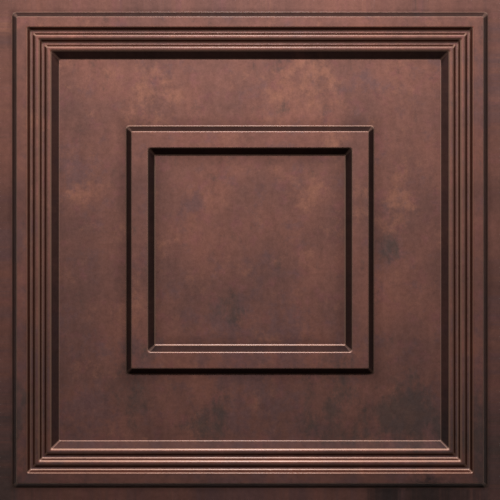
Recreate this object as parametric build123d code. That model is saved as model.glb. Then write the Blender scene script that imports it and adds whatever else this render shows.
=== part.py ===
from build123d import *
from math import atan2, hypot, tan
import os

# Pressed PVC ceiling tile: one thermoformed sheet with a square coffer on its face.
# It lies face up on the back of its sunk panels. Sizes are in millimetres.
# X and Y run along the sides and +Z points out of the decorated face. The origin is
# under the middle of the tile, on the surface that it rests on.

# Blank
tile_size = 603.0        # side of a lay-in tile for a 610 mm (24 in) ceiling grid
sheet = 0.7              # thickness of the flat sheet before it is drawn

# Heights of the face
flange_height = 2.0      # flange above the sunk panels
shelf_rise = 7.5         # shelf and reeds above the flange
groove_depth = 4.0       # groove floors below the shelf
frame_rise = 11.0        # top of the middle frame above the sunk panels

# Widths across the section, from the edge of the tile to its middle
flange_width = 15.5      # edge of the tile to the foot of the step
step_width = 7.1         # slope from flange to shelf, in plan
shelf_width = 12.1
groove_slope_width = 3.9
groove_floor = 2.3
reed_width = 3.85        # top of a reed, between its two slopes
reed_count = 2
splay_width = 9.2        # slope from the last reed to the sunk field, in plan
field_width = 80.4       # foot of the splay to the foot of the frame
frame_slope_width = 7.8
frame_width = 19.3       # flat top of the middle frame

# Radii of the pressed edges
step_foot_radius = 0.9
step_top_radius = 1.1
groove_lip_radius = 1.5  # shelf's edge over the first groove
groove_outer_radius = 2.6
groove_inner_radius = 0.5
reed_outer_radius = 2.4
reed_inner_radius = 4.0
splay_foot_radius = 1.4
frame_edge_radius = 1.6
panel_foot_radius = 2.6  # foot of the frame's slope round the middle panel
arc_share = 0.49         # most of a straight run that the arc at one of its ends may use

half = tile_size / 2
field_level = sheet
flange_level = field_level + flange_height
shelf_level = flange_level + shelf_rise
groove_level = shelf_level - groove_depth
frame_level = field_level + frame_rise


def section_corners():
    """Corners of the face in section, edge to middle, each as (distance in, height, radius)."""
    corners = [(0.0, flange_level, 0.0)]

    def go(width, level, radius):
        corners.append((corners[-1][0] + width, level, radius))

    go(flange_width, flange_level, step_foot_radius)
    go(step_width, shelf_level, step_top_radius)
    go(shelf_width, shelf_level, groove_lip_radius)
    for reed in range(reed_count):
        go(groove_slope_width, groove_level, groove_outer_radius)
        go(groove_floor, groove_level, groove_inner_radius)
        go(groove_slope_width, shelf_level, reed_outer_radius)
        go(reed_width, shelf_level, reed_inner_radius)
    go(splay_width, field_level, splay_foot_radius)
    go(field_width, field_level, frame_edge_radius)
    go(frame_slope_width, frame_level, frame_edge_radius)
    go(frame_width, frame_level, frame_edge_radius)
    go(frame_slope_width, field_level, panel_foot_radius)
    go(half - corners[-1][0], field_level, 0.0)
    return corners


def fitting_radius(before, corner, after):
    """The corner's radius, limited so that its arc fits on the straight runs beside it."""
    run_in = hypot(corner[0] - before[0], corner[1] - before[1])
    run_out = hypot(after[0] - corner[0], after[1] - corner[1])
    heading_in = atan2(corner[1] - before[1], corner[0] - before[0])
    heading_out = atan2(after[1] - corner[1], after[0] - corner[0])
    turn = abs(heading_out - heading_in)
    return min(corner[2], arc_share * min(run_in, run_out) / tan(turn / 2))


def sheet_section():
    """Half section of the sheet. It is drawn along Z, so it keeps its thickness along Z."""
    corners = section_corners()
    radii = [fitting_radius(*corners[i - 1:i + 2]) for i in range(1, len(corners) - 1)]
    face = FilletPolyline(*[(half - inset, level) for inset, level, _ in corners], radius=radii)
    back = Pos(0, -sheet) * face
    edge = Line(face @ 0, back @ 0)
    middle = Line(face @ 1, back @ 1)
    return make_face(face.edges() + middle.edges() + back.edges() + edge.edges())


def ceiling_tile():
    """The half section run along one side, mitred at the diagonals and set round four sides."""
    run = extrude(Plane.XZ * sheet_section(), half, both=True)
    quarter = make_face(Polyline((0, 0), (half, -half), (half, half), close=True))
    side = run & extrude(quarter, half, both=True)
    sides = [Rot(0, 0, 90 * turn) * side for turn in range(4)]
    return (sides[0] + sides[1:]).clean()


tile = ceiling_tile()
os.makedirs("parts", exist_ok=True)
export_step(tile, "parts/ceiling_tile.step")
print("solids", len(tile.solids()), "volume", round(tile.volume), "faces", len(tile.faces()))
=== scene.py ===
from math import atan2, hypot, pi, radians, sqrt, tan

import bpy
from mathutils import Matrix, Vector


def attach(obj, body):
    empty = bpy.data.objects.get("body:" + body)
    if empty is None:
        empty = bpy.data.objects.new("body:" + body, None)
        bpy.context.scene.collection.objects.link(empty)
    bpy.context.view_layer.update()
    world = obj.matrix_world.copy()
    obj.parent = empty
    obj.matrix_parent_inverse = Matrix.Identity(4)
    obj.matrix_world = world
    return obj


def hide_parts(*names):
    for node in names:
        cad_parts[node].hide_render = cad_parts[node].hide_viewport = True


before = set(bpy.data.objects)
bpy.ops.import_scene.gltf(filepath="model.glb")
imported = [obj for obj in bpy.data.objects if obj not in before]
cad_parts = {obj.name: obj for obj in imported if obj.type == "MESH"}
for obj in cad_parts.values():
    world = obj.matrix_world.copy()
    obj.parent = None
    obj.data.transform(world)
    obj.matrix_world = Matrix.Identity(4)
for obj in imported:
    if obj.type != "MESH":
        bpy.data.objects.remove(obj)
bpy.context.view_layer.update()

millimetre = 0.001  # in metres, which Blender and the frame use


def hexToLinear(code):  # sRGB hex to the linear colour that Blender's sockets take
    parts = [int(code[i:i + 2], 16) / 255 for i in (1, 3, 5)]
    return [p / 12.92 if p <= 0.04045 else ((p + 0.055) / 1.055) ** 2.4 for p in parts] + [1.0]


def addNode(tree, kind, feeds=None, **settings):  # a feed is a value, a socket, or a node's first output
    node = tree.nodes.new(kind)
    for name, value in settings.items():
        setattr(node, name, value)
    for socket, feed in (feeds or {}).items():
        feed = feed.outputs[0] if isinstance(feed, bpy.types.Node) else feed
        if isinstance(feed, bpy.types.NodeSocket):
            tree.links.new(feed, node.inputs[socket])
        else:
            node.inputs[socket].default_value = feed
    return node


# Pressed sheet, in mm: heights, then widths in plan from the edge of the tile to its middle
tileSheet = {
    "size": 603.0,
    "sheet": 0.7,
    "flangeHeight": 2.0,      # above the sunk panels
    "shelfRise": 7.5,         # above the flange
    "grooveDepth": 4.0,
    "frameRise": 11.0,        # above the sunk panels
    "flange": 15.5,
    "step": 7.1,
    "shelf": 12.1,
    "grooveSlope": 3.9,
    "grooveFloor": 2.3,
    "reed": 3.85,
    "reeds": 2,
    "splay": 9.2,
    "field": 80.4,
    "frameSlope": 7.8,
    "frame": 19.3,
    "stepFootRadius": 0.9,    # pressed edges, seen in section
    "stepTopRadius": 1.1,
    "grooveLipRadius": 1.5,   # shelf's edge over the first groove
    "grooveOuterRadius": 2.6,  # the two feet of a groove, then the two edges of a reed
    "grooveInnerRadius": 0.5,
    "reedOuterRadius": 2.4,
    "reedInnerRadius": 4.0,
    "splayFootRadius": 1.4,
    "frameEdgeRadius": 1.6,
    "panelFootRadius": 2.6,
    "stepFootCorner": 4.5,    # mitred corners, seen in plan
    "reedCorner": 2.0,
    "frameFootCorner": 3.5,
    "frameTopCorner": 1.5,
    "panelTopCorner": 3.5,
    "panelFootCorner": 1.5,
    "filletSteps": 8,
    "cornerSteps": 6,
    "hold": 0.3,              # strip kept flat beside each rounding, so that flats shade flat
    "merge": 0.01,            # points nearer than this become one
    "smoothAngle": 45.0,      # degrees; the cut rim bends more and stays crisp
    "steep": 0.05,            # 1 - normal z above which the bend at a mitre counts as an edge
    "unprinted": 0.2,         # normal z below which a face belongs to the rim or the back
}


def sectionCorners(s):  # distance from the middle, height, radius in section, radius in plan
    field = s["sheet"]
    flange = field + s["flangeHeight"]
    shelf = flange + s["shelfRise"]
    groove = shelf - s["grooveDepth"]
    top = field + s["frameRise"]
    corners = [(s["size"] / 2, flange, 0.0, 0.0)]

    def go(width, level, radius, corner):
        corners.append((corners[-1][0] - width, level, radius, corner))

    go(s["flange"], flange, s["stepFootRadius"], s["stepFootCorner"])
    go(s["step"], shelf, s["stepTopRadius"], s["reedCorner"])
    go(s["shelf"], shelf, s["grooveLipRadius"], s["reedCorner"])
    for reed in range(s["reeds"]):
        go(s["grooveSlope"], groove, s["grooveOuterRadius"], s["reedCorner"])
        go(s["grooveFloor"], groove, s["grooveInnerRadius"], s["reedCorner"])
        go(s["grooveSlope"], shelf, s["reedOuterRadius"], s["reedCorner"])
        go(s["reed"], shelf, s["reedInnerRadius"], s["reedCorner"])
    go(s["splay"], field, s["splayFootRadius"], s["reedCorner"])
    go(s["field"], field, s["frameEdgeRadius"], s["frameFootCorner"])
    go(s["frameSlope"], top, s["frameEdgeRadius"], s["frameTopCorner"])
    go(s["frame"], top, s["frameEdgeRadius"], s["panelTopCorner"])
    go(s["frameSlope"], field, s["panelFootRadius"], s["panelFootCorner"])
    corners.append((0.0, field, 0.0, 0.0))
    return corners


def namedRings(s):  # distance of each pressed edge from the middle, in mm
    far = [corner[0] for corner in sectionCorners(s)]
    outer = ("rim", "stepFoot", "stepTop")
    inner = ("lastReed", "splayFoot", "frameFoot", "frameOuter", "frameInner", "panelFoot", "middle")
    rings = dict(zip(outer + inner, far[:len(outer)] + far[-len(inner):]))
    between = far[len(outer):-len(inner)]
    perGroove = 4  # a lip, an outer foot, an inner foot and the edge of the reed
    rings["grooves"] = [between[i:i + perGroove] for i in range(0, len(between), perGroove)]
    return rings


def filletReach(corners, i):  # straight run that the rounding of a corner uses up
    if corners[i][2] == 0:
        return 0.0
    runs = [(corners[i - 1], corners[i]), (corners[i], corners[i + 1])]
    before, after = [atan2(end[1] - start[1], start[0] - end[0]) for start, end in runs]
    return corners[i][2] * tan(abs(after - before) / 2)


def withHolds(corners, hold):  # adds points on each straight run, just clear of the roundings at its ends
    points = [corners[0]]
    for i, (start, end) in enumerate(zip(corners, corners[1:])):
        run = hypot(end[0] - start[0], end[1] - start[1])
        first = filletReach(corners, i) + hold
        last = run - filletReach(corners, i + 1) - hold
        for spot in (first, last) if first < last else ():
            blended = [a + (b - a) * spot / run for a, b in zip(start, end)]
            points.append((blended[0], blended[1], 0.0, blended[3]))
        points.append(end)
    return points


def pressedSheetTree(s, faceMaterial, backMaterial):
    tree = bpy.data.node_groups.new("pressedSheet", "GeometryNodeTree")
    sockets = (("Section", "Geometry"), ("Sheet", "Float"), ("Hold", "Float"), ("Fillet Steps", "Int"),
               ("Corner Steps", "Int"))
    for name, kind in sockets:
        tree.interface.new_socket(name, in_out="INPUT", socket_type="NodeSocket" + kind)
    tree.interface.new_socket("Tile", in_out="OUTPUT", socket_type="NodeSocketGeometry")
    given = addNode(tree, "NodeGroupInput").outputs

    # the section line with its edges rounded
    line = addNode(tree, "GeometryNodeMeshToCurve", {"Mesh": given["Section"]})
    pressRadius = addNode(tree, "GeometryNodeInputNamedAttribute", {"Name": "pressRadius"}, data_type="FLOAT")
    rounded = addNode(tree, "GeometryNodeFilletCurve", {
        "Curve": line, "Count": given["Fillet Steps"], "Radius": pressRadius}, mode="POLY")
    size = addNode(tree, "GeometryNodeAttributeDomainSize", {"Geometry": rounded}, component="CURVE")
    count = size.outputs["Point Count"]

    # a grid: across it the places round the square, along it the face and then the back of the section
    runs, corners, sides = 3.0, 4.0, 2.0  # straight runs beside a corner's arc, corners, sides of the sheet
    perCorner = addNode(tree, "ShaderNodeMath", {0: given["Corner Steps"], 1: runs}, operation="ADD")
    ringCount = addNode(tree, "ShaderNodeMath", {0: perCorner, 1: corners}, operation="MULTIPLY")
    loopCount = addNode(tree, "ShaderNodeMath", {0: count, 1: sides}, operation="MULTIPLY")
    ringPoints = addNode(tree, "ShaderNodeMath", {0: ringCount, 1: 1.0}, operation="ADD")
    loopPoints = addNode(tree, "ShaderNodeMath", {0: loopCount, 1: 1.0}, operation="ADD")
    grid = addNode(tree, "GeometryNodeMeshGrid", {
        "Size X": ringCount, "Size Y": loopCount, "Vertices X": ringPoints, "Vertices Y": loopPoints})
    spot = addNode(tree, "ShaderNodeSeparateXYZ", {0: addNode(tree, "GeometryNodeInputPosition")}).outputs
    fromEnd = addNode(tree, "ShaderNodeMath", {0: ringCount, 1: 0.5, 2: spot["X"]}, operation="MULTIPLY_ADD")
    ring = addNode(tree, "ShaderNodeMath", {0: fromEnd}, operation="ROUND")
    fromEdge = addNode(tree, "ShaderNodeMath", {0: spot["Y"], 1: count}, operation="ADD")
    loop = addNode(tree, "ShaderNodeMath", {0: fromEdge}, operation="ROUND")
    step = addNode(tree, "ShaderNodeMath", {0: loop, 1: loopCount}, operation="MODULO")
    onBack = addNode(tree, "FunctionNodeCompare", {0: step, 1: count}, operation="GREATER_EQUAL")
    lastStep = addNode(tree, "ShaderNodeMath", {0: loopCount, 1: 1.0}, operation="SUBTRACT")
    backwards = addNode(tree, "ShaderNodeMath", {0: lastStep, 1: step}, operation="SUBTRACT")
    index = addNode(tree, "GeometryNodeSwitch", {
        "Switch": onBack, "False": step, "True": backwards}, input_type="FLOAT")

    # the section at that step
    sampled = addNode(tree, "GeometryNodeSampleIndex", {
        "Geometry": rounded, "Value": addNode(tree, "GeometryNodeInputPosition"), "Index": index},
        data_type="FLOAT_VECTOR", domain="POINT")
    sectionAt = addNode(tree, "ShaderNodeSeparateXYZ", {0: sampled}).outputs
    planRadius = addNode(tree, "GeometryNodeInputNamedAttribute", {"Name": "cornerRadius"}, data_type="FLOAT")
    radius = addNode(tree, "GeometryNodeSampleIndex", {
        "Geometry": rounded, "Value": planRadius, "Index": index}, data_type="FLOAT", domain="POINT")
    drop = addNode(tree, "GeometryNodeSwitch", {
        "Switch": onBack, "False": 0.0, "True": given["Sheet"]}, input_type="FLOAT")
    height = addNode(tree, "ShaderNodeMath", {0: sectionAt["Z"], 1: drop}, operation="SUBTRACT")

    # square ring with rounded corners, and a short straight strip at each end of a corner
    ringMiddle = addNode(tree, "ShaderNodeMath", {0: ring, 1: 0.5}, operation="ADD")
    quarters = addNode(tree, "ShaderNodeMath", {0: ringMiddle, 1: perCorner}, operation="DIVIDE")
    quarter = addNode(tree, "ShaderNodeMath", {0: quarters}, operation="FLOOR")
    passed = addNode(tree, "ShaderNodeMath", {0: quarter, 1: perCorner}, operation="MULTIPLY")
    along = addNode(tree, "ShaderNodeMath", {0: ring, 1: passed}, operation="SUBTRACT")
    onArc = addNode(tree, "ShaderNodeMath", {0: along, 1: 1.0}, operation="SUBTRACT")
    arcStep = addNode(tree, "ShaderNodeClamp", {"Value": onArc, "Min": 0.0, "Max": given["Corner Steps"]})
    past = addNode(tree, "ShaderNodeMath", {0: onArc, 1: arcStep}, operation="SUBTRACT")
    arcShare = addNode(tree, "ShaderNodeMath", {0: arcStep, 1: given["Corner Steps"]}, operation="DIVIDE")
    turned = addNode(tree, "ShaderNodeMath", {0: quarter, 1: arcShare}, operation="ADD")
    turn = addNode(tree, "ShaderNodeMath", {0: turned, 1: pi / 2}, operation="MULTIPLY")
    diagonal = addNode(tree, "ShaderNodeMath", {0: quarter, 1: pi / 2, 2: pi / 4}, operation="MULTIPLY_ADD")
    straight = addNode(tree, "ShaderNodeMath", {0: sectionAt["X"], 1: radius}, operation="SUBTRACT")
    reach = addNode(tree, "ShaderNodeMath", {0: straight, 1: sqrt(2)}, operation="MULTIPLY")
    halfWay = addNode(tree, "ShaderNodeMath", {0: straight, 1: 0.5}, operation="MULTIPLY")
    strip = addNode(tree, "ShaderNodeMath", {0: given["Hold"], 1: halfWay}, operation="MINIMUM")
    slide = addNode(tree, "ShaderNodeMath", {0: past, 1: strip}, operation="MULTIPLY")
    centre = addNode(tree, "ShaderNodeCombineXYZ", {"X": reach, "Z": height})
    atCorner = addNode(tree, "ShaderNodeVectorRotate", {
        "Vector": centre, "Angle": diagonal}, rotation_type="Z_AXIS")
    spoke = addNode(tree, "ShaderNodeCombineXYZ", {"X": radius, "Y": slide})
    outward = addNode(tree, "ShaderNodeVectorRotate", {
        "Vector": spoke, "Angle": turn}, rotation_type="Z_AXIS")
    place = addNode(tree, "ShaderNodeVectorMath", {0: atCorner, 1: outward}, operation="ADD")
    onFillet = addNode(tree, "GeometryNodeSampleIndex", {
        "Geometry": rounded, "Value": pressRadius, "Index": index}, data_type="FLOAT", domain="POINT")
    bent = addNode(tree, "ShaderNodeMath", {0: onFillet, 1: 0.0}, operation="GREATER_THAN")
    fromMitre = addNode(tree, "ShaderNodeMath", {0: arcShare, 1: 0.5}, operation="SUBTRACT")
    aside = addNode(tree, "ShaderNodeMath", {0: fromMitre}, operation="ABSOLUTE")
    onMitre = addNode(tree, "ShaderNodeMath", {0: aside, 1: 0.5}, operation="LESS_THAN")
    kept = addNode(tree, "GeometryNodeCaptureAttribute", {"Geometry": grid})
    for name, value in (("Bent", bent), ("Mitre", onMitre)):
        kept.capture_items.new("FLOAT", name)
        tree.links.new(value.outputs[0], kept.inputs[name])
    pressed = addNode(tree, "GeometryNodeSetPosition", {"Geometry": kept, "Position": place})
    closed = addNode(tree, "GeometryNodeMergeByDistance", {
        "Geometry": pressed, "Distance": s["merge"] * millimetre})

    # one edge without faces is left inside the sheet, at the middle
    faces = addNode(tree, "GeometryNodeInputMeshEdgeNeighbors")
    stray = addNode(tree, "ShaderNodeMath", {0: faces, 1: 1.0}, operation="LESS_THAN")
    whole = addNode(tree, "GeometryNodeDeleteGeometry", {
        "Geometry": closed, "Selection": stray}, domain="EDGE", mode="EDGE_FACE")

    # smooth over the pressed edges and crisp at the cut edge
    bend = addNode(tree, "GeometryNodeInputMeshEdgeAngle")
    gentle = addNode(tree, "FunctionNodeCompare", {
        0: bend, 1: radians(s["smoothAngle"])}, operation="LESS_THAN")
    smooth = addNode(tree, "GeometryNodeSetShadeSmooth", {
        "Geometry": whole, "Shade Smooth": gentle}, domain="EDGE")

    # marks for the print and its painted highlights and shade: how steep the sheet is drawn, and where it
    # bends round an edge or a mitre
    normal = addNode(tree, "GeometryNodeInputNormal")
    facing = addNode(tree, "ShaderNodeSeparateXYZ", {0: normal}).outputs["Z"]
    upright = addNode(tree, "ShaderNodeMath", {0: facing}, operation="ABSOLUTE")
    slope = addNode(tree, "ShaderNodeMath", {0: 1.0, 1: upright}, operation="SUBTRACT")
    steep = addNode(tree, "ShaderNodeMath", {0: slope, 1: s["steep"]}, operation="GREATER_THAN")
    mitre = addNode(tree, "ShaderNodeMath", {0: steep, 1: kept.outputs["Mitre"]}, operation="MULTIPLY")
    plan = addNode(tree, "ShaderNodeVectorMath", {
        0: addNode(tree, "GeometryNodeInputPosition"), 1: (1.0, 1.0, 0.0)}, operation="MULTIPLY")
    lean = addNode(tree, "ShaderNodeVectorMath", {0: normal, 1: plan}, operation="DOT_PRODUCT")
    outside = addNode(tree, "ShaderNodeMath", {0: lean.outputs["Value"], 1: 0.0}, operation="GREATER_THAN")
    hip = addNode(tree, "ShaderNodeMath", {0: mitre, 1: outside}, operation="MULTIPLY")
    valley = addNode(tree, "ShaderNodeMath", {0: mitre, 1: hip}, operation="SUBTRACT")
    marked = smooth
    for name, value in (("drawn", slope), ("edge", kept.outputs["Bent"]), ("hip", hip), ("valley", valley)):
        marked = addNode(tree, "GeometryNodeStoreNamedAttribute", {
            "Geometry": marked, "Name": name, "Value": value}, data_type="FLOAT", domain="POINT")
    made = addNode(tree, "GeometryNodeRealizeInstances", {"Geometry": marked})
    printed = addNode(tree, "GeometryNodeSetMaterial", {"Geometry": made, "Material": faceMaterial})
    unprinted = addNode(tree, "FunctionNodeCompare", {0: facing, 1: s["unprinted"]}, operation="LESS_THAN")
    tile = addNode(tree, "GeometryNodeSetMaterial", {
        "Geometry": printed, "Selection": unprinted, "Material": backMaterial})
    addNode(tree, "NodeGroupOutput", {"Tile": tile})
    return tree


def makeTile(s, faceMaterial, backMaterial):
    points = withHolds(sectionCorners(s), s["hold"])
    mesh = bpy.data.meshes.new("tileSheet")
    mesh.from_pydata([(p[0] * millimetre, 0, p[1] * millimetre) for p in points],
                     [(i, i + 1) for i in range(len(points) - 1)], [])
    for name, column in (("pressRadius", 2), ("cornerRadius", 3)):
        values = mesh.attributes.new(name, "FLOAT", "POINT").data
        values.foreach_set("value", [p[column] * millimetre for p in points])
    tile = bpy.data.objects.new("tileSheet", mesh)
    bpy.context.collection.objects.link(tile)
    press = tile.modifiers.new("pressedSheet", "NODES")
    press.node_group = pressedSheetTree(s, faceMaterial, backMaterial)
    wanted = {"Sheet": s["sheet"] * millimetre, "Hold": s["hold"] * millimetre,
              "Fillet Steps": s["filletSteps"], "Corner Steps": s["cornerSteps"]}
    for socket in press.node_group.interface.items_tree:
        if socket.name in wanted:
            press[socket.identifier] = wanted[socket.name]
    graph = bpy.context.evaluated_depsgraph_get()
    made = bpy.data.meshes.new_from_object(tile.evaluated_get(graph))
    made.materials.pop(index=0)  # the empty slot of the grid that the sheet is made from
    tile.modifiers.clear()
    tile.data = made
    print("tile sheet:", len(made.vertices), "points,", len(made.polygons), "faces")
    return tile


# Antique bronze print under a satin lacquer on rigid PVC, drawn in the mould after printing: a dull metal
# look, clouded from umber to copper, with painted shade at the feet of the slopes, thinned and partly painted
# darker on the slopes, and painted highlights on the edges.
# A layer's size is in mm, along X and Y. A patch shows where its noise is in the span or above it, and it
# gathers round its places, each given as x, y and radius in mm.
bronzePrint = {
    "umber": "#60433d",       # the two ends of the soft clouds
    "copper": "#744d43",
    "cloudSpan": (0.3, 0.7),  # noise values that give the two ends
    "cloud": {"size": (90, 90), "detail": 4, "rough": 0.55, "seed": 3.0},
    "glow": {"size": (40, 40), "detail": 8, "rough": 0.74, "seed": 17.0,
             "colour": "#855a4a", "span": (0.54, 0.8), "share": 0.7, "gather": 0.22,
             "places": ((-121, 183, 60), (60, 199, 70), (103, 136, 35), (134, 54, 46), (70, 70, 40),
                        (-206, 69, 34), (183, 57, 36), (-262, 160, 25), (-139, -72, 40), (-297, 272, 36))},
    "rose": {"size": (24, 24), "detail": 7, "rough": 0.7, "seed": 31.0,
             "colour": "#74474a", "span": (0.5, 0.72), "share": 0.3, "gather": 0.0, "places": ()},
    "slate": {"size": (34, 34), "detail": 8, "rough": 0.74, "seed": 47.0,
              "colour": "#5a4445", "span": (0.52, 0.76), "share": 0.55, "gather": 0.18,
              "places": ((-64, 60, 30), (136, 199, 35), (-277, 12, 50), (-205, 100, 40), (163, 0, 35),
                         (-300, -140, 150), (300, -150, 140), (-300, -290, 120), (300, -290, 130),
                         (0, -300, 170), (0, -120, 130), (285, 200, 90), (215, -215, 75), (-190, -215, 80),
                         (-136, -125, 45), (120, -125, 50), (175, -268, 60))},
    "smoke": {"size": (26, 40), "detail": 9, "rough": 0.76, "seed": 59.0,
              "colour": "#423b38", "span": (0.56, 0.84), "share": 0.65, "gather": 0.22,
              "places": ((103, -195, 75), (-52, -200, 58), (-139, -177, 48), (-21, -75, 36), (185, -195, 60),
                         (100, -136, 40), (-292, -217, 95), (292, -229, 85), (40, 172, 20), (168, 0, 30),
                         (-297, -275, 55), (297, -278, 65), (205, -208, 90), (-134, -120, 46))},
    # darker patches along the bottom edge of the tile
    "darkBottomEdge": {"size": (40, 40), "detail": 8, "rough": 0.74, "seed": 97.0,
             "colour": "#262727", "span": (0.62, 0.95), "share": 0.75, "gather": 0.44,
             "places": ((156, -300, 38), (192, -300, 46), (226, -300, 46), (264, -300, 44))},
    "grain": {"size": (8, 8), "detail": 6, "rough": 0.95, "seed": 71.0, "swing": 1.0},
    "drip": {"size": (14, 60), "detail": 3, "rough": 0.6, "seed": 83.0, "swing": 0.22},
    "pulled": 12.0,           # mm of the rim over which the print is drawn straight outward
    "paintedFootShade": 0.74,           # painted shade at the foot of a slope, fading out over the reach
    "paintedFootShadeReach": 14.0,      # mm
    "shelfShade": 0.93,
    "flangeShade": 0.84,
    "flangeReach": 6.0,       # mm
    "wobble": 10.0,           # mm by which the clouds shift the shaded bands
    "paintedGrooveReflection": "#f2c9b3",  # filters over the print: redder and darker on the slopes of the grooves, a painted warm reflection and shade
    "floorTint": "#f4faff",   # cooler on their floors
    "paintedFrameShade": "#e4e4e4",   # and painted shade on the outer slope of the frame
    "tintFade": 1.0,          # mm over which such a filter fades at the ends of a slope
    "sheet": "#322929",       # bare sheet that shows through where the print is drawn thin, made dark enough to stand as painted shade on the slopes
    "drawnThinAndShadeShare": 0.75,       # most of it that shows
    "drawnSlope": 0.5,        # 1 - normal z at which the print is thinnest
    "paintedGlintColour": "#aa8674",        # paler metal colour of a painted highlight on an edge
    "paintedGlint": 0.68,
    "paintedGlintSlope": 0.2,          # 1 - normal z at which an edge gets the most painted highlight
    "paintedHipGlint": 0.3,            # painted highlight along an outside mitre, as a share of that on an edge
    "paintedReedHipGlint": 1.0,        # along the outside mitre of a reed
    "paintedValleyGlint": 0.3,         # and along an inside mitre
    "metallic": 1.0,
    "roughness": 0.62,
    "roughSwing": 0.1,
    "edgeRoughness": 0.58,
    "coat": 0.25,
    "coatRoughness": 0.25,
    "bump": 0.06,
    "bumpHeight": 0.05,       # mm
}


def shadeStops(b, s):  # painted shade at the feet of the slopes, and a darker shelf and flange, by distance from the middle of the tile, in mm
    rings, full = namedRings(s), 1.0
    return [
        (rings["panelFoot"] - b["paintedFootShadeReach"], full), (rings["panelFoot"], b["paintedFootShade"]),
        (rings["frameInner"], full), (rings["frameOuter"], full), (rings["frameFoot"], b["paintedFootShade"]),
        (rings["frameFoot"] + b["paintedFootShadeReach"], full), (rings["splayFoot"], full),
        (rings["stepTop"], b["shelfShade"]), (rings["stepFoot"], b["paintedFootShade"] * b["flangeShade"]),
        (rings["stepFoot"] + b["flangeReach"], b["flangeShade"])]


def tintStops(b, s):  # filters over the print by distance from the middle, in mm: painted reflection and shade in the grooves, painted shade on the frame
    rings, fade, plain = namedRings(s), b["tintFade"], "#ffffff"
    stops = [
        (rings["frameOuter"], plain), (rings["frameOuter"] + fade, b["paintedFrameShade"]),
        (rings["frameFoot"] - fade, b["paintedFrameShade"]), (rings["frameFoot"], plain),
        (rings["lastReed"] - 2 * fade, plain), (rings["lastReed"], b["paintedGrooveReflection"]),
        (rings["lastReed"] + fade, plain)]
    for lip, outerFoot, innerFoot, reedEdge in rings["grooves"]:
        stops += [
            (reedEdge, plain), (reedEdge + fade, b["paintedGrooveReflection"]), (innerFoot - fade, b["paintedGrooveReflection"]),
            (innerFoot, b["floorTint"]), (outerFoot, b["floorTint"]), (outerFoot + fade, b["paintedGrooveReflection"]),
            (lip, b["paintedGrooveReflection"]), (lip + fade, plain)]
    return stops


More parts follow.
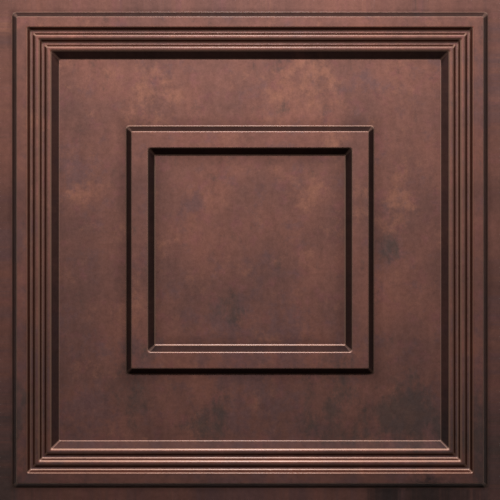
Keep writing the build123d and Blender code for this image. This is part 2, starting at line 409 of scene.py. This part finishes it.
def bronzeMaterial(b, s):
    material = bpy.data.materials.new("antiqueBronzePvc")
    material.use_nodes = True
    tree = material.node_tree
    shader = tree.nodes["Principled BSDF"]
    place = addNode(tree, "ShaderNodeTexCoord").outputs["Object"]
    half = s["size"] / 2

    # noise of every layer, all but the grain pulled straight outward over the rim
    limit = (half - b["pulled"]) * millimetre
    inside = addNode(tree, "ShaderNodeVectorMath", {0: place, 1: [limit] * 3}, operation="MINIMUM")
    spot = addNode(tree, "ShaderNodeVectorMath", {0: inside, 1: [-limit] * 3}, operation="MAXIMUM")
    noise = {}
    for name in ("cloud", "glow", "rose", "slate", "smoke", "darkBottomEdge", "drip", "grain"):
        layer = b[name]
        scale = [1 / (size * millimetre) for size in layer["size"]] + [0.0]
        start = place if name == "grain" else spot
        scaled = addNode(tree, "ShaderNodeVectorMath", {
            0: start, 1: scale, 2: [layer["seed"]] * 3}, operation="MULTIPLY_ADD")
        noise[name] = addNode(tree, "ShaderNodeTexNoise", {
            "Vector": scaled, "Scale": 1.0, "Detail": layer["detail"], "Roughness": layer["rough"]},
            noise_dimensions="2D")

    # soft clouds, then patches with crumbled edges; a Mix node takes colours at 6 and 7 and gives one at 2
    cloudy = addNode(tree, "ShaderNodeMapRange", {
        "Value": noise["cloud"], "From Min": b["cloudSpan"][0], "From Max": b["cloudSpan"][1]})
    colour = addNode(tree, "ShaderNodeMix", {
        0: cloudy, 6: hexToLinear(b["umber"]), 7: hexToLinear(b["copper"])}, data_type="RGBA").outputs[2]
    for name in ("glow", "rose", "slate", "smoke", "darkBottomEdge"):
        layer = b[name]
        strength = noise[name].outputs[0]
        for x, y, radius in layer["places"]:
            away = addNode(tree, "ShaderNodeVectorMath", {
                0: spot, 1: (x * millimetre, y * millimetre, 0.0)}, operation="DISTANCE").outputs["Value"]
            near = addNode(tree, "ShaderNodeMapRange", {
                "Value": away, "From Max": radius * millimetre, "To Min": layer["gather"], "To Max": 0.0},
                interpolation_type="SMOOTHSTEP")
            strength = addNode(tree, "ShaderNodeMath", {0: strength, 1: near}, operation="ADD")
        share = addNode(tree, "ShaderNodeMapRange", {
            "Value": strength, "From Min": layer["span"][0], "From Max": layer["span"][1],
            "To Max": layer["share"]}, interpolation_type="SMOOTHSTEP")
        colour = addNode(tree, "ShaderNodeMix", {
            0: share, 6: colour, 7: hexToLinear(layer["colour"])}, data_type="RGBA").outputs[2]

    # painted shade at the feet of the slopes and a darker shelf and flange, by distance from the middle, then
    # grain and drips
    folded = addNode(tree, "ShaderNodeVectorMath", {0: place}, operation="ABSOLUTE")
    sides = addNode(tree, "ShaderNodeSeparateXYZ", {0: folded}).outputs
    ring = addNode(tree, "ShaderNodeMath", {0: sides["X"], 1: sides["Y"]}, operation="MAXIMUM")
    drift = addNode(tree, "ShaderNodeMapRange", {
        "Value": noise["cloud"], "To Min": -b["wobble"] / 2 * millimetre,
        "To Max": b["wobble"] / 2 * millimetre})
    drifted = addNode(tree, "ShaderNodeMath", {0: ring, 1: drift}, operation="ADD")
    outward = addNode(tree, "ShaderNodeMath", {0: drifted, 1: half * millimetre}, operation="DIVIDE")
    band = addNode(tree, "ShaderNodeValToRGB", {"Fac": outward})
    stops = band.color_ramp.elements
    stops.remove(stops[0])
    for distance, shade in shadeStops(b, s):
        stops.new(distance / half).color = (shade, shade, shade, 1.0)
    stops[-1].color = [b["flangeShade"]] * 3 + [1.0]  # the ramp's own last stop, at the rim
    tone = band
    for name in ("grain", "drip"):
        swing = b[name]["swing"] / 2
        ripple = addNode(tree, "ShaderNodeMapRange", {
            "Value": noise[name], "To Min": 1 - swing, "To Max": 1 + swing})
        tone = addNode(tree, "ShaderNodeMath", {0: tone, 1: ripple}, operation="MULTIPLY")

    # thinned and partly painted darker on the slopes, painted reflection and shade in the grooves, painted
    # shade on the frame, painted highlights on the edges
    drawn = addNode(tree, "ShaderNodeAttribute", attribute_name="drawn").outputs["Fac"]
    thinAndShadeShare = addNode(tree, "ShaderNodeMapRange", {
        "Value": drawn, "From Max": b["drawnSlope"], "To Max": b["drawnThinAndShadeShare"]})
    thinnedAndShaded = addNode(tree, "ShaderNodeMix", {
        0: thinAndShadeShare, 6: colour, 7: hexToLinear(b["sheet"])}, data_type="RGBA").outputs[2]
    toned = addNode(tree, "ShaderNodeHueSaturation", {"Color": thinnedAndShaded, "Value": tone})
    fromMiddle = addNode(tree, "ShaderNodeMath", {0: ring, 1: half * millimetre}, operation="DIVIDE")
    tint = addNode(tree, "ShaderNodeValToRGB", {"Fac": fromMiddle})
    filters = tint.color_ramp.elements
    filters.remove(filters[0])
    for distance, code in tintStops(b, s):
        filters.new(distance / half).color = hexToLinear(code)
    shaded = addNode(tree, "ShaderNodeMix", {
        0: 1.0, 6: toned, 7: tint}, data_type="RGBA", blend_type="MULTIPLY").outputs[2]
    rings = namedRings(s)
    shelfLip, lastReed = rings["grooves"][0][0] * millimetre, rings["lastReed"] * millimetre
    offShelf = addNode(tree, "ShaderNodeMath", {0: ring, 1: shelfLip}, operation="LESS_THAN")
    offSplay = addNode(tree, "ShaderNodeMath", {0: ring, 1: lastReed}, operation="GREATER_THAN")
    onReeds = addNode(tree, "ShaderNodeMath", {0: offShelf, 1: offSplay}, operation="MULTIPLY")
    paintedHipGlint = addNode(tree, "ShaderNodeMapRange", {
        "Value": onReeds, "To Min": b["paintedHipGlint"], "To Max": b["paintedReedHipGlint"]})
    edge = addNode(tree, "ShaderNodeAttribute", attribute_name="edge").outputs["Fac"]
    for name, share in (("hip", paintedHipGlint), ("valley", b["paintedValleyGlint"])):
        mark = addNode(tree, "ShaderNodeAttribute", attribute_name=name).outputs["Fac"]
        lighter = addNode(tree, "ShaderNodeMath", {0: mark, 1: share}, operation="MULTIPLY")
        edge = addNode(tree, "ShaderNodeMath", {0: edge, 1: lighter}, operation="MAXIMUM")
    # painted highlight: the pale metal colour mixed in on edges and mitres, most where the sheet starts to
    # slope
    paintedGlint = addNode(tree, "ShaderNodeMapRange", {
        "Value": drawn, "From Max": b["paintedGlintSlope"], "To Max": b["paintedGlint"]})
    paintedGlintShare = addNode(tree, "ShaderNodeMath", {0: edge, 1: paintedGlint}, operation="MULTIPLY")
    withPaintedGlint = addNode(tree, "ShaderNodeMix", {
        0: paintedGlintShare, 6: shaded, 7: hexToLinear(b["paintedGlintColour"])}, data_type="RGBA").outputs[2]
    tree.links.new(withPaintedGlint, shader.inputs["Base Color"])

    # uneven satin, a little smoother where it is rubbed, and fine grain that the rubbing takes off
    uneven = addNode(tree, "ShaderNodeMapRange", {
        "Value": noise["smoke"], "To Min": b["roughness"] - b["roughSwing"] / 2,
        "To Max": b["roughness"] + b["roughSwing"] / 2})
    satin = addNode(tree, "ShaderNodeMapRange", {
        "Value": edge, "To Min": uneven, "To Max": b["edgeRoughness"]})
    tree.links.new(satin.outputs[0], shader.inputs["Roughness"])
    raised = addNode(tree, "ShaderNodeMapRange", {"Value": edge, "To Min": b["bump"], "To Max": 0.0})
    relief = addNode(tree, "ShaderNodeBump", {
        "Height": noise["grain"], "Strength": raised, "Distance": b["bumpHeight"] * millimetre})
    tree.links.new(relief.outputs[0], shader.inputs["Normal"])
    shader.inputs["Metallic"].default_value = b["metallic"]
    shader.inputs["Coat Weight"].default_value = b["coat"]
    shader.inputs["Coat Roughness"].default_value = b["coatRoughness"]
    print("face:", material.name, "with", len(tree.nodes), "nodes")
    return material


# Back of the sheet: plain calendered PVC, unprinted, so one dull brown with a faint grain and dusty clouds
plainPvc = {
    "colour": "#3a302d",
    "dust": "#4a423f",
    "dustSize": 40.0,         # mm
    "dustDetail": 6.0,
    "dustSpan": (0.4, 0.75),
    "roughness": 0.55,
    "grainSize": 1.5,         # mm; coarser than the real grain, so that it shows
    "grainHeight": 0.03,      # mm
}


def plainMaterial(p):
    material = bpy.data.materials.new("calenderedPvcBack")
    material.use_nodes = True
    tree = material.node_tree
    shader = tree.nodes["Principled BSDF"]
    place = addNode(tree, "ShaderNodeTexCoord").outputs["Object"]
    cloud = addNode(tree, "ShaderNodeTexNoise", {
        "Vector": place, "Scale": 1 / (p["dustSize"] * millimetre), "Detail": p["dustDetail"]})
    dusty = addNode(tree, "ShaderNodeMapRange", {
        "Value": cloud, "From Min": p["dustSpan"][0], "From Max": p["dustSpan"][1]},
        interpolation_type="SMOOTHSTEP")
    colour = addNode(tree, "ShaderNodeMix", {
        0: dusty, 6: hexToLinear(p["colour"]), 7: hexToLinear(p["dust"])}, data_type="RGBA").outputs[2]
    tree.links.new(colour, shader.inputs["Base Color"])
    grain = addNode(tree, "ShaderNodeTexNoise", {"Vector": place, "Scale": 1 / (p["grainSize"] * millimetre)})
    relief = addNode(tree, "ShaderNodeBump", {"Height": grain, "Distance": p["grainHeight"] * millimetre})
    tree.links.new(relief.outputs[0], shader.inputs["Normal"])
    shader.inputs["Roughness"].default_value = p["roughness"]
    print("back:", material.name, "with", len(tree.nodes), "nodes")
    return material


tile = makeTile(tileSheet, bronzeMaterial(bronzePrint, tileSheet), plainMaterial(plainPvc))
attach(tile, "root")
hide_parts("ceiling_tile")

# Lamps, in metres and watts; every lamp looks at the middle of the tile
studio = {
    "floor": "#c9c6c0",
    "floorSize": 6.0,
    "worldColour": "#ffffff",
    "world": 0.05,
    "keyPlace": (0.0, 2.46, 3.15),
    "keySize": (0.6, 0.4),
    "keyPower": 41.8,
    "keySpread": 80.0,        # degrees; a grid on the softbox keeps its light off the floor nearby
    "stripPlace": (1.2, 1.2, 0.5),
    "stripSize": (0.4, 0.15),
    "stripPower": 6.0,
    "stripSpread": 180.0,     # degrees
    "cameraDistance": 1.28,   # above the flange
    "trim": 0.85,             # mm of the rim left out of the picture on each side, so that no floor shows
}

floorMesh = bpy.data.meshes.new("floor")
reach = studio["floorSize"] / 2
rim = [(-reach, -reach, 0), (reach, -reach, 0), (reach, reach, 0), (-reach, reach, 0)]
floorMesh.from_pydata(rim, [], [(0, 1, 2, 3)])
floor = bpy.data.objects.new("floor", floorMesh)
bpy.context.collection.objects.link(floor)
floorPaint = bpy.data.materials.new("floorPaint")
floorPaint.use_nodes = True
matt = floorPaint.node_tree.nodes["Principled BSDF"].inputs
matt["Base Color"].default_value = hexToLinear(studio["floor"])
matt["Roughness"].default_value = 1.0
matt["Specular IOR Level"].default_value = 0.0
floorMesh.materials.append(floorPaint)

across = Vector((-1, 1, 1))  # turns the right strip's place into the left one's
lamps = (("keySoftbox", "key", Vector(studio["keyPlace"])),
         ("rightStrip", "strip", Vector(studio["stripPlace"])),
         ("leftStrip", "strip", Vector(studio["stripPlace"]) * across))
for name, kind, spot in lamps:
    light = bpy.data.lights.new(name, "AREA")
    light.shape = "RECTANGLE"
    light.size, light.size_y = studio[kind + "Size"]
    light.energy = studio[kind + "Power"]
    light.spread = radians(studio[kind + "Spread"])
    lamp = bpy.data.objects.new(name, light)
    lamp.location = spot
    lamp.rotation_euler = (-spot).to_track_quat("-Z", "Y").to_euler()
    lamp.visible_camera = False
    bpy.context.collection.objects.link(lamp)
print("lamps:", len(lamps))

world = bpy.data.worlds.new("studio")
bpy.context.scene.world = world
world.use_nodes = True
background = world.node_tree.nodes["Background"].inputs
background["Color"].default_value = hexToLinear(studio["worldColour"])
background["Strength"].default_value = studio["world"]

camera = bpy.data.cameras.new("camera")
flangeLevel = (tileSheet["sheet"] + tileSheet["flangeHeight"]) * millimetre
seen = (tileSheet["size"] - 2 * studio["trim"]) * millimetre
camera.lens = camera.sensor_width * studio["cameraDistance"] / seen
eye = bpy.data.objects.new("camera", camera)
eye.location = (0, 0, flangeLevel + studio["cameraDistance"])
bpy.context.collection.objects.link(eye)
bpy.context.scene.camera = eye
print("camera: lens", round(camera.lens, 1), "mm")
bpy.context.scene.view_settings.view_transform = "Standard"
